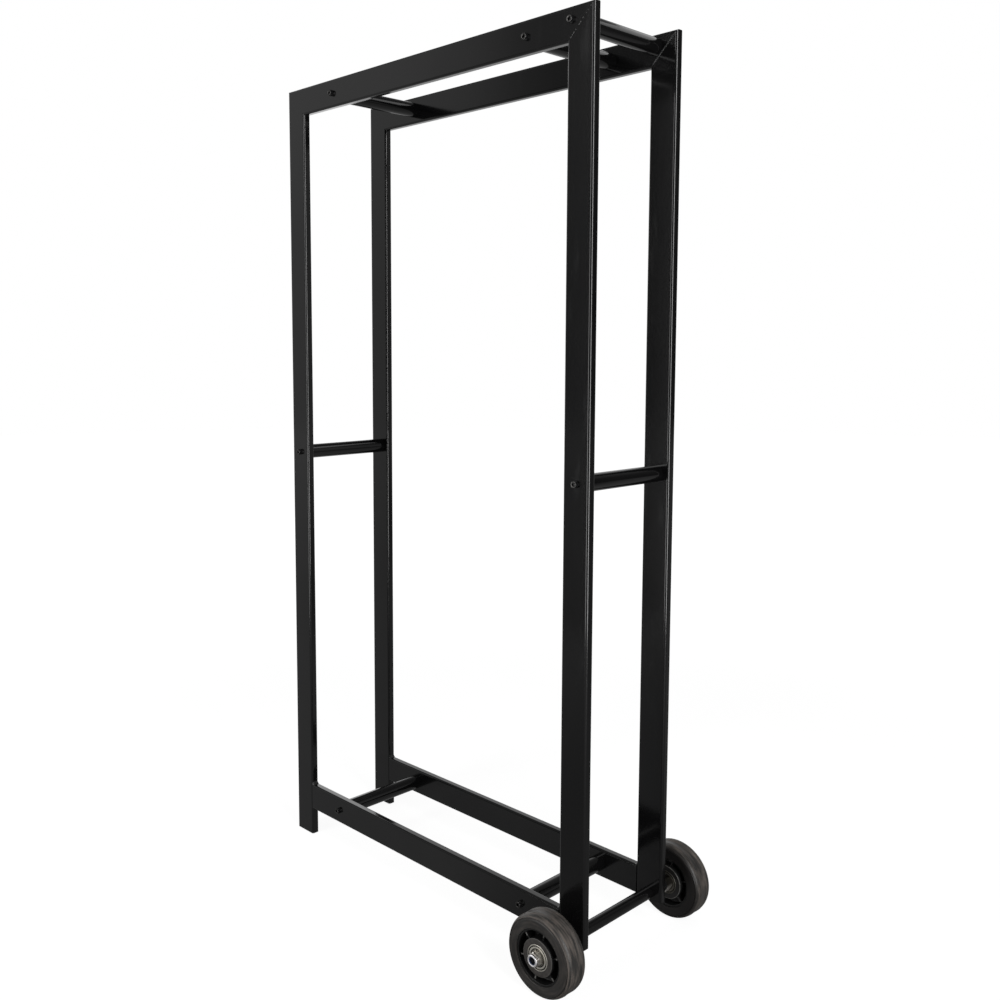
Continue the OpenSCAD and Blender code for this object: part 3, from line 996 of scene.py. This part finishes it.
@dataclass
class CrossTubes(Assembly):
    """The round tubes between the side frames, with their threaded plugs and cap screws."""

    paint: Finish = GlossPaint("gloss_paint")
    plug_steel: Finish = ZincPlate("plug_steel")
    tubes: tuple[str, ...] = ("top_left_tube", "top_right_tube", "handle_tube", "mid_left_tube",
                              "mid_right_tube", "bottom_left_tube", "bottom_right_tube")
    thread_radius: float = 2.5 * MM
    head_radius: float = 4.25 * MM
    head_height: float = 5.0 * MM
    head_edge: float = 0.6 * MM
    socket_width: float = 4.0 * MM
    socket_depth: float = 2.5 * MM
    grip: float = 25.0 * MM
    knurls: int = 36
    knurl_depth: float = 0.12 * MM
    segments: int = 144

    def build(self) -> None:
        """Dresses the tubes and plugs, and makes the screws."""
        self.dress_nodes(self.paint, *self.tubes, "axle_tube")
        self.dress_nodes(self.plug_steel, "tube_plugs")
        rubbed_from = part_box("back_top_rail")[1].y + self.head_height - 0.1 * MM
        self.fit(self.screws(), Body.FRAME, "screw_black", BlackOxide("screw_black", rubbed_from),
                 "frame_screws")

    @property
    def socket_corner(self) -> float:
        """How far the socket's corners are from its middle."""
        return self.socket_width / math.sqrt(3)

    def screw_outline(self) -> list[Point]:
        """The outline of a cap screw with its socket.

        Returns:
            Points (distance from its axis, height over the face that it is screwed to).
        """
        radius, top, edge = self.head_radius, self.head_height, self.head_edge
        floor, corner = top - self.socket_depth, self.socket_corner
        return [(0.0, floor - 0.5 * MM), (corner, floor), (corner, top - 0.25 * MM),
                (corner + 0.3 * MM, top), *arc((radius - edge, top - edge), edge, 90, 0, 6),
                (radius, top - edge - 0.1 * MM), (radius, 0.4 * MM), (radius - 0.25 * MM, 0.0),
                (self.thread_radius, 0.0), (self.thread_radius, -self.grip), (0.0, -self.grip)]

    def screw_shape(self, radius: float, height: float, angle: float) -> float:
        """Gives a screw its hexagon socket and the fine knurl round its head.

        Args:
            radius: The outline's distance from the axis.
            height: Height over the face.
            angle: Angle about the axis in radians.

        Returns:
            The distance at that angle.
        """
        if radius <= self.socket_corner and height > 0:
            return min(radius, hexagon(self.socket_width, 30.0, 0.0, angle))
        if radius == self.head_radius and 0.3 * MM < height < self.head_height - self.head_edge:
            return radius - self.knurl_depth * (0.5 + 0.5 * math.cos(self.knurls * angle))
        return radius

    def screws(self) -> Object:
        """The fourteen screws, two for each cross tube.

        Returns:
            The new object.
        """
        piece = Piece()
        for tube in self.tubes:
            low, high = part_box(tube)
            axis = ((low.x + high.x) / 2, (low.z + high.z) / 2)
            for side in Side:
                face_low, face_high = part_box(f"{side.word}_top_rail")
                face = face_low.y if side is Side.FRONT else face_high.y
                piece.turn(axis, self.screw_outline(), self.segments, face, side.value, self.screw_shape)
        return piece.done("cap_screws", crease=40.0)


@dataclass
class Feet(Assembly):
    """The moulded caps in the feet of the two legs."""

    plastic: Finish = MouldedPlastic("cap_plastic")

    def build(self) -> None:
        """Dresses the caps."""
        self.dress_nodes(self.plastic, "leg_caps")


@dataclass
class Bearing:
    """A shielded ball bearing, as outlines of (distance from its axis, distance from its middle)."""

    centre: Point
    middle: float
    bore: float = 6.0 * MM
    outer: float = 16.0 * MM
    width: float = 10.0 * MM
    inner_land: float = 9.0 * MM
    outer_land: float = 13.0 * MM
    track: float = 3.0 * MM
    sheet: float = 0.3 * MM
    segments: int = 144

    @classmethod
    def rings(cls, name: str, crease: float, add: Callable[["Bearing", Piece], None], centre: Point,
              half_width: float, *wheels: float) -> Object:
        """Makes one kind of ring for the bearings in both faces of each wheel.

        Args:
            name: The object's name.
            crease: Angle in degrees from which an edge stays sharp.
            add: The method that adds such a ring to a piece.
            centre: The axle's X and Z.
            half_width: Half the wheels' width.
            wheels: The middle of each wheel along Y.

        Returns:
            The new object.
        """
        piece = Piece()
        for wheel in wheels:
            for end in (-1, 1):
                add(cls(centre, wheel + end * (half_width - cls.width / 2)), piece)
        return piece.done(name, crease)

    def add_half(self, piece: Piece, *half: Point) -> None:
        """Turns an outline that is given for one half of the width and mirrored to the other."""
        piece.turn(self.centre, mirrored(half), self.segments, self.middle)

    def ball_track(self, land: float, start: float, sense: int) -> list[Point]:
        """Half of the groove that the balls run in, from the middle of the width to its land.

        Args:
            land: Radius of the ring's land.
            start: Angle in degrees at which the groove's half starts.
            sense: 1 where its angles grow, and -1 where they shrink.

        Returns:
            The groove's points.
        """
        pitch = (self.inner_land + self.outer_land) / 2
        swing = math.degrees(math.acos(abs(land - pitch) / self.track))
        return arc((pitch, 0.0), self.track, start + sense, start + sense * swing, 7)

    def add_inner(self, piece: Piece) -> None:
        """Adds the inner ring."""
        half, land = self.width / 2, self.inner_land
        self.add_half(piece, *self.ball_track(land, 180, -1), (land, half - 0.3 * MM),
                      (land - 0.25 * MM, half), (self.bore + 0.5 * MM, half),
                      (self.bore, half - 0.5 * MM), (self.bore, 0.1 * MM))

    def add_outer(self, piece: Piece) -> None:
        """Adds the outer ring, with the seat of the shields in its faces."""
        half, land = self.width / 2, self.outer_land
        self.add_half(piece, *self.ball_track(land, 0, 1), (land, half - 1.05 * MM),
                      (14.5 * MM, half - 1.05 * MM), (14.6 * MM, half - 0.2 * MM), (14.8 * MM, half),
                      (self.outer - 0.4 * MM, half), (self.outer, half - 0.4 * MM), (self.outer, 0.1 * MM))

    def add_shields(self, piece: Piece) -> None:
        """Adds the two pressed steel shields.

        Args:
            piece: The piece to add to.
        """
        face = [(13.5 * MM, 0.75 * MM), (13.5 * MM, 0.35 * MM), (13.25 * MM, 0.15 * MM),
                (11.2 * MM, 0.15 * MM), (11.0 * MM, 0.5 * MM), (10.1 * MM, 0.65 * MM),
                (9.95 * MM, 0.35 * MM), (9.3 * MM, 0.35 * MM)]
        under = [(radius, depth + self.sheet) for radius, depth in reversed(face)]
        for end in (-1, 1):
            piece.turn(self.centre, face + under, self.segments, self.middle + end * self.width / 2, -end)


@dataclass
class Axle(Assembly):
    """The axle rod with its sleeves, spacers, inner nuts and lock nuts, and the bearings' inner rings."""

    centre: Point = (0.0, 0.0)
    wheel_middles: tuple[float, float] = (0.0, 0.0)
    half_width: float = 16.5 * MM
    nut_width: float = 17.0 * MM
    hex_height: float = 7.0 * MM
    nut_height: float = 10.0 * MM
    collar_radius: float = 7.35 * MM
    collar_wall: float = 1.1 * MM
    lip_radius: float = 5.1 * MM
    thread_radius: float = 5.05 * MM
    hex_turn: float = 12.0
    hex_corner: float = 0.12 * MM
    inner_nut_width: float = 19.0 * MM
    nut_segments: int = 180
    nylon_segments: int = 96
    sleeve_black: Finish = BlackOxide("sleeve_black")
    nylon: Finish = Nylon("nylon")

    def build(self) -> None:
        """Dresses what stays, and makes the lock nuts, their nylon rings and the inner rings."""
        middle = self.wheel_middles[1]
        outer_face = middle + self.half_width
        self.dress_nodes(AxleSteel("axle_steel", thread_from=outer_face - 0.5 * MM), "axle_rod")
        self.dress_nodes(TurnedSteel("spacer_steel", (0.4, 0.39, 0.37)), "hub_spacers")
        self.dress_nodes(self.sleeve_black, "axle_sleeves")
        self.dress_nodes(OiledNut("nut_steel", self.centre, self.inner_nut_width), "inner_nuts")
        nuts = self.on_both("lock_nuts_zinc", self.nut_outline(), self.nut_segments, 35.0, self.nut_shape)
        self.fit(nuts, Body.FRAME, "zinc_plate",
                 ZincPlate("zinc_plate", outer_face + self.nut_height - 0.9 * MM), "lock_nuts")
        inserts = self.on_both("nylon_inserts", self.nylon_outline(), self.nylon_segments, 40.0)
        self.fit(inserts, Body.FRAME, "nylon", self.nylon, "nylon_rings")
        rings = Bearing.rings("inner_rings_ground", 35.0, Bearing.add_inner, self.centre, self.half_width,
                              *self.wheel_middles)
        self.fit(rings, Body.FRAME, "bearing_steel",
                 BearingSteel("bearing_steel", centre=self.centre, middle=middle), "bearing_inner_rings")

    def on_both(self, name: str, outline: Sequence[Point], segments: int, crease: float,
                shape: Shape | None = None) -> Object:
        """Turns an outline on the outer faces of both wheels.

        Args:
            name: The object's name.
            outline: The outline, as (distance from the axle's axis, height over the wheel's face).
            segments: Steps about the axis.
            crease: Angle in degrees from which an edge stays sharp.
            shape: Gives the distance from the axis, if it isn't round.

        Returns:
            The new object.
        """
        piece = Piece()
        for side, middle in zip(Side, self.wheel_middles):
            face = middle + side.value * self.half_width
            piece.turn(self.centre, outline, segments, face, side.value, shape)
        return piece.done(name, crease)

    def nut_outline(self) -> list[Point]:
        """The outline of a lock nut: a chamfered hexagon, and a rounded collar with its lip rolled in.

        Returns:
            The outline's points.
        """
        corner, flat = self.nut_width / math.sqrt(3), self.nut_width / 2
        slope = (corner - flat) * math.tan(math.radians(30))
        collar, hexed, wall = self.collar_radius, self.hex_height, self.collar_wall
        lip, cavity, top = self.lip_radius, self.collar_radius - 1.0 * MM, self.nut_height
        return [(self.thread_radius, 0.0), (flat - 0.3 * MM, 0.0), (flat, 0.15 * MM),
                (corner, slope + 0.15 * MM), (corner, hexed - slope - 0.3 * MM),
                (flat - 0.1 * MM, hexed - 0.15 * MM), (collar + 0.35 * MM, hexed),
                (collar, hexed + 0.4 * MM), *arc((collar - wall, top - wall), wall, 0, 90, 10),
                (lip + 0.35 * MM, top), (lip + 0.05 * MM, top - 0.2 * MM), (lip, top - 0.55 * MM),
                (lip + 0.3 * MM, top - 0.9 * MM), (cavity, top - 0.95 * MM), (cavity, hexed),
                (self.thread_radius, hexed)]

    def nut_shape(self, radius: float, _height: float, angle: float) -> float:
        """Gives a lock nut its hexagon."""
        return min(radius, hexagon(self.nut_width, self.hex_turn, self.hex_corner, angle))

    def nylon_outline(self) -> list[Point]:
        """The outline of a nylon ring, whose inner lip covers the edge of the axle's end.

        Returns:
            The outline's points.
        """
        outer, top = self.collar_radius - 1.05 * MM, self.nut_height - 1.0 * MM
        low, under = self.hex_height + 0.05 * MM, self.nut_height - 1.48 * MM
        return [(self.thread_radius, low), (outer, low), (outer, top),
                *arc((4.3 * MM, top - 0.25 * MM), 0.25 * MM, 90, 180, 4), (4.05 * MM, under),
                (self.thread_radius, under)]


@dataclass
class Wheel(Assembly):
    """A wheel: its tyre, its ribbed hub and its two shielded ball bearings."""

    side: Side = Side.FRONT
    centre: Point = (0.0, 0.0)
    middle: float = 0.0
    half_width: float = 16.5 * MM
    tyre_radius: float = 51.0 * MM
    tread_depth: float = 3.5 * MM
    shoulder: float = 7.6 * MM
    seat_radius: float = 34.55 * MM
    key_radius: float = 36.05 * MM
    key_half: float = 6.05 * MM
    edge: float = 0.5 * MM
    rim_radius: float = 34.5 * MM
    rim_inner: float = 31.9 * MM
    rim_half: float = 15.0 * MM
    ridge_radius: float = 36.0 * MM
    ridge_half: float = 6.0 * MM
    boss_radius: float = 23.3 * MM
    pocket_radius: float = 16.05 * MM
    hub_bore: float = 13.0 * MM
    web_half: float = 2.0 * MM
    draft: float = 0.3 * MM
    ribs: int = 6
    rib_thickness: float = 2.2 * MM
    rib_inset: float = 4.0 * MM
    rib_sunk: float = 0.8 * MM
    rib_phase: float = 17.0
    tyre_segments: int = 192
    hub_segments: int = 160

    def build(self) -> None:
        """Builds the tyre, hub and bearings, and dresses the balls and cages."""
        word, body, outward = self.side.word, self.side.wheel, abs(self.middle)
        steel = BearingSteel("bearing_steel", centre=self.centre, middle=outward)
        rubber = TyreRubber("tyre_rubber", self.centre, outward, self.tyre_radius - self.tread_depth)
        plastic = HubPlastic("hub_plastic", centre=self.centre, middle=outward)
        self.fit(self.tyre(), body, "tyre_rubber", rubber, f"{word}_tyre")
        self.fit(self.hub(), body, "hub_plastic", plastic, f"{word}_hub")
        for kind, name, add in (("outer_rings", "outer_rings_ground", Bearing.add_outer),
                                ("shields", "shields_pressed", Bearing.add_shields)):
            rings = Bearing.rings(f"{word}_{name}", 30.0, add, self.centre, self.half_width, self.middle)
            self.fit(rings, body, "bearing_steel", steel, f"{word}_{kind}")
        self.dress_nodes(steel, f"{word}_balls")
        self.dress_nodes(TurnedSteel("cage_steel", (0.5, 0.46, 0.38)), f"{word}_cages")

    def half_tyre(self) -> list[Point]:
        """The tyre's outline from its seat on the rim round one face to the middle of its tread.

        Returns:
            Points (radius, distance from the wheel's middle, below 0).
        """
        rise, crown = self.shoulder, self.tyre_radius - 0.25 * MM
        centre = (crown - rise, rise)
        key = self.half_width - self.key_half
        seat = [(self.key_radius, key), (self.seat_radius, key),
                *reversed(arc((self.seat_radius + self.edge, self.edge), self.edge, -90, -180, 4))]
        face = [(centre[0] - 3 * MM, 0.0), (centre[0], 0.0), *arc(centre, rise, -90, -68, 4)[1:]]
        ridge = [(46.2 * MM, 0.32 * MM), (46.4 * MM, 0.38 * MM)]
        groove = [(46.5 * MM, 1.1 * MM), (46.9 * MM, 1.35 * MM), (47.1 * MM, 0.72 * MM),
                  (47.35 * MM, 0.78 * MM)]
        line = [(crown + 0.02 * MM, rise + 0.9 * MM), (self.tyre_radius, rise + 1.15 * MM),
                (self.tyre_radius, rise + 1.35 * MM), (crown + 0.02 * MM, rise + 1.7 * MM)]
        points = seat + face + ridge + groove + arc(centre, rise, -55, 0, 12) + line
        return [(radius, depth - self.half_width) for radius, depth in points]

    def tyre(self) -> Object:
        """The tyre, with the groove and the mould line on each shoulder."""
        piece = Piece().turn(self.centre, mirrored(self.half_tyre()), self.tyre_segments, self.middle)
        return piece.done(f"{self.side.word}_tyre_moulded", crease=40.0)

    def hub_outline(self) -> list[Point]:
        """The hub's outline: rim, web and boss, with moulded fillets.

        Returns:
            Points (radius, distance from the wheel's middle).
        """
        pocket = self.half_width - Bearing.width
        half = [(self.hub_bore, pocket, 0.0), (self.pocket_radius, pocket, 0.0),
                (self.pocket_radius, self.half_width, 0.35 * MM),
                (self.boss_radius, self.half_width, 1.3 * MM),
                (self.boss_radius - self.draft, self.web_half, 1.5 * MM),
                (self.rim_inner + self.draft, self.web_half, 1.5 * MM),
                (self.rim_inner, self.rim_half, 0.5 * MM), (self.rim_radius, self.rim_half, 0.2 * MM),
                (self.rim_radius, self.ridge_half, 0.0), (self.ridge_radius, self.ridge_half, 0.0)]
        return eased(mirrored(half))

    def hub(self) -> Object:
        """The hub with its ribs on both sides of the web.

        Returns:
            The new object.
        """
        piece = Piece().turn(self.centre, self.hub_outline(), self.hub_segments, self.middle)
        for end in (-1, 1):
            for i in range(self.ribs):
                self.add_rib(piece, end, math.radians(self.rib_phase + i * 360 / self.ribs))
        return piece.done(f"{self.side.word}_hub_moulded", crease=35.0)

    def add_rib(self, piece: Piece, end: int, angle: float) -> None:
        """Adds one rib: a tapered plate with rounded edges, sunk in the boss, the web and the rim.

        Args:
            piece: The piece to add to.
            end: The side of the web, as the sign of Y.
            angle: The rib's angle from +X towards +Z, in radians.
        """
        top, root = self.half_width - self.rib_inset, self.web_half - 0.5 * MM
        inner, outer = self.boss_radius - self.rib_sunk, self.rim_inner + self.rib_sunk
        made = bmesh.ops.create_cube(piece.mesh, size=1.0)["verts"]
        for vertex in made:
            high = vertex.co.y > 0
            along = inner if vertex.co.x < 0 else outer
            across = math.copysign(self.rib_thickness / 2 * (0.8 if high else 1.15), vertex.co.z)
            vertex.co = Vector((self.centre[0] + along * math.cos(angle) - across * math.sin(angle),
                                self.middle + end * (top if high else root),
                                self.centre[1] + along * math.sin(angle) + across * math.cos(angle)))
        edges = {edge for vertex in made for edge in vertex.link_edges}
        bmesh.ops.bevel(piece.mesh, geom=list(edges), offset=0.35 * MM, segments=3, profile=0.5,
                        affect="EDGES")


# ---- Studio ----


class Lamp(Enum):
    """The soft lamps, as place, point aimed at, width, height and power in watts."""

    FRONT_STRIP = ((-0.41, -1.54, 1.0), (0.1, 0.0, 1.0), 0.5, 2.0, 18.0)
    RIGHT_STRIP = ((1.81, -0.52, 0.95), (0.2, 0.0, 0.95), 0.5, 2.0, 36.0)
    LEFT_BOX = ((-3.2, 0.9, 1.3), (0.0, 0.0, 0.6), 2.6, 2.2, 15.0)
    TOP_BOX = ((-0.35, 1.6, 2.8), (-0.25, 0.0, 0.6), 2.4, 2.4, 6.0)
    SHINE_BOX = ((0.525, 0.725, 1.6), (0.525, 0.725, 0.0), 0.85, 0.45, 1.5)

    def add(self) -> None:
        """Adds the lamp to the scene, out of the camera's sight.

        Gloss shows the world's ceiling instead of the top box, and the shine box lights gloss alone.
        """
        place, aim, width, height, power = self.value
        data = bpy.data.lights.new(self.name.lower(), "AREA")
        data.shape = "RECTANGLE"
        data.size, data.size_y = width, height
        data.energy = power
        towards = Vector(aim) - Vector(place)
        made = linked(self.name.lower(), data)
        made.matrix_world = Matrix.Translation(place) @ towards.to_track_quat("-Z", "Y").to_matrix().to_4x4()
        made.visible_camera = False
        made.visible_glossy = self is not Lamp.TOP_BOX
        made.visible_diffuse = self is not Lamp.SHINE_BOX


@dataclass
class Studio:
    """The pale floor, the soft light and the camera at the photograph's viewing angle."""

    camera_place: Place = (1.06428, -1.05358, 0.77994)
    camera_yaw: float = 46.473
    camera_pitch: float = 5.437
    focal: float = 37.868
    shift: Point = (0.05, -0.05)
    dark_side: float = 52.0
    walls: tuple[Point, ...] = ((0.0, 1.0), (0.2, 0.85), (0.355, 0.5), (0.405, 0.55), (0.44, 0.45),
                                (0.465, 0.13), (0.485, 0.19), (0.5, 0.12), (0.52, 0.02), (0.56, 0.02),
                                (0.75, 0.12), (1.0, 0.1))
    back_walls: tuple[Point, ...] = ((0.0, 1.0), (0.1, 0.8), (0.2, 0.5), (0.35, 0.1), (0.5, 0.03),
                                     (0.55, 0.08), (0.61, 0.36), (0.66, 0.38), (0.75, 0.2), (1.0, 0.1))
    wall_seam: float = 0.1
    heights: tuple[Point, ...] = ((0.44, 0.62), (0.52, 0.74), (0.6, 1.0), (0.72, 1.0), (0.82, 0.15))
    ceiling: tuple[Point, ...] = ((0.71, 0.0), (0.78, 0.1), (1.0, 0.1))
    soft_strength: float = 0.26
    floor_radius: float = 9.0
    floor_drop: float = 0.2 * MM
    floor_grey: Colour = (0.16, 0.16, 0.16)
    floor_glow: float = 0.91
    glow_fade: Point = (0.9, 2.6)
    shine_ends: Point = (-4.5, 2.5)
    shine: tuple[Point, ...] = ((0.0, 0.78), (0.16, 0.58), (0.29, 0.41), (0.49, 0.3), (0.6, 0.16),
                                (0.655, 0.16), (0.675, 0.03), (0.69, 0.02), (0.83, 0.26), (1.0, 0.3))

    def build(self) -> None:
        """Builds the camera, the world, the floor and the lamps."""
        self.camera()
        self.world()
        self.floor()
        for lamp in Lamp:
            lamp.add()

    def camera(self) -> None:
        """Adds the camera."""
        data = bpy.data.cameras.new("camera")
        data.lens, data.sensor_width = self.focal, 36.0
        data.shift_x, data.shift_y = self.shift
        data.clip_start, data.clip_end = 0.05, 60.0
        made = linked("camera", data)
        made.location = self.camera_place
        made.rotation_euler = (math.radians(90 - self.camera_pitch), 0.0, math.radians(self.camera_yaw))
        bpy.context.scene.camera = made

    def towards_dark(self) -> Place:
        """The direction from the cart towards the studio's dark side."""
        angle = math.radians(self.dark_side)
        return (math.sin(angle), -math.cos(angle), 0.0)

    def reflected(self, board: Board, path: bpy.types.Node) -> Socket:
        """1 for rays that metal, gloss or glass sends out, and 0 for others."""
        return board.math("MAXIMUM", path.outputs["Is Glossy Ray"], path.outputs["Is Transmission Ray"])

    def world(self) -> None:
        """White where it is looked at; reflections show it with a dark side."""
        world = bpy.data.worlds.new("studio")
        bpy.context.scene.world = world
        world.use_nodes = True
        world.node_tree.nodes.clear()
        board = Board(world.node_tree)
        path = board.node("ShaderNodeLightPath")
        way = board.coordinates.outputs["Generated"]
        around, height, behind = (board.vector("DOT_PRODUCT", way, towards)
                                  for towards in (self.towards_dark(), (0.0, 0.0, 1.0), (0.0, 1.0, 0.0)))
        around = board.span(around, -1.0, 1.0, even=True)
        height = board.span(height, -1.0, 1.0, even=True)
        behind = board.span(behind, -self.wall_seam, self.wall_seam)
        back = board.math("MULTIPLY", board.ramp(around, self.back_walls), behind)
        front = board.math("MULTIPLY", board.ramp(around, self.walls), board.math("SUBTRACT", 1.0, behind))
        shown = board.math("MULTIPLY", board.math("ADD", back, front), board.ramp(height, self.heights))
        shown = board.math("ADD", shown, board.ramp(height, self.ceiling))
        glossy = board.math("MULTIPLY", self.reflected(board, path), shown)
        soft = board.math("MULTIPLY", path.outputs["Is Diffuse Ray"], self.soft_strength)
        strength = board.math("ADD", path.outputs["Is Camera Ray"], board.math("ADD", glossy, soft))
        white = board.node("ShaderNodeBackground", {"Color": (1.0, 1.0, 1.0), "Strength": strength})
        board.node("ShaderNodeOutputWorld", {"Surface": white.outputs["Background"]})

    def floor(self) -> None:
        """Adds a round pale floor that shows white where it is looked at, and keeps the cart's shadow."""
        mesh = bmesh.new()
        bmesh.ops.create_circle(mesh, cap_ends=True, segments=96, radius=self.floor_radius)
        data = bpy.data.meshes.new("floor")
        mesh.to_mesh(data)
        mesh.free()
        made = linked("floor", data)
        made.location.z = -self.floor_drop
        material = bpy.data.materials.new("floor_paper")
        material.use_nodes = True
        material.node_tree.nodes.clear()
        board = Board(material.node_tree)
        path = board.node("ShaderNodeLightPath")
        place = board.coordinates.outputs["Object"]
        fade = board.span(board.vector("LENGTH", place), *self.glow_fade, self.floor_glow, 1.0)
        seen = board.math("MULTIPLY", path.outputs["Is Camera Ray"], fade)
        side = board.vector("DOT_PRODUCT", place, self.towards_dark())
        bright = board.ramp(board.span(side, *self.shine_ends, even=True), self.shine)
        shown = board.math("MULTIPLY", self.reflected(board, path), bright)
        glow = board.node("ShaderNodeEmission", {"Strength": board.math("ADD", seen, shown)})
        paper = board.node("ShaderNodeBsdfDiffuse", {"Color": self.floor_grey})
        both = board.node("ShaderNodeAddShader", {0: glow.outputs[0], 1: paper.outputs[0]})
        board.node("ShaderNodeOutputMaterial", {"Surface": both.outputs[0]})
        data.materials.append(material)


def main() -> None:
    """Builds the studio and the cart's assemblies in order."""
    logging.basicConfig(level=logging.INFO, format="%(message)s")
    bpy.context.scene.view_settings.view_transform = "Standard"
    Studio().build()
    centre = (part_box("front_tyre")[1].x - Wheel.tyre_radius, Wheel.tyre_radius)
    middles = tuple(sum(corner.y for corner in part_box(f"{side.word}_tyre")) / 2 for side in Side)
    assemblies: list[Assembly] = [SideFrames(), CrossTubes(), Feet()]
    assemblies.append(Axle(centre=centre, wheel_middles=middles))
    assemblies += [Wheel(side=side, centre=centre, middle=middle) for side, middle in zip(Side, middles)]
    for assembly in assemblies:
        assembly.build()
        assembly.report()


if __name__ == "__main__":
    main()
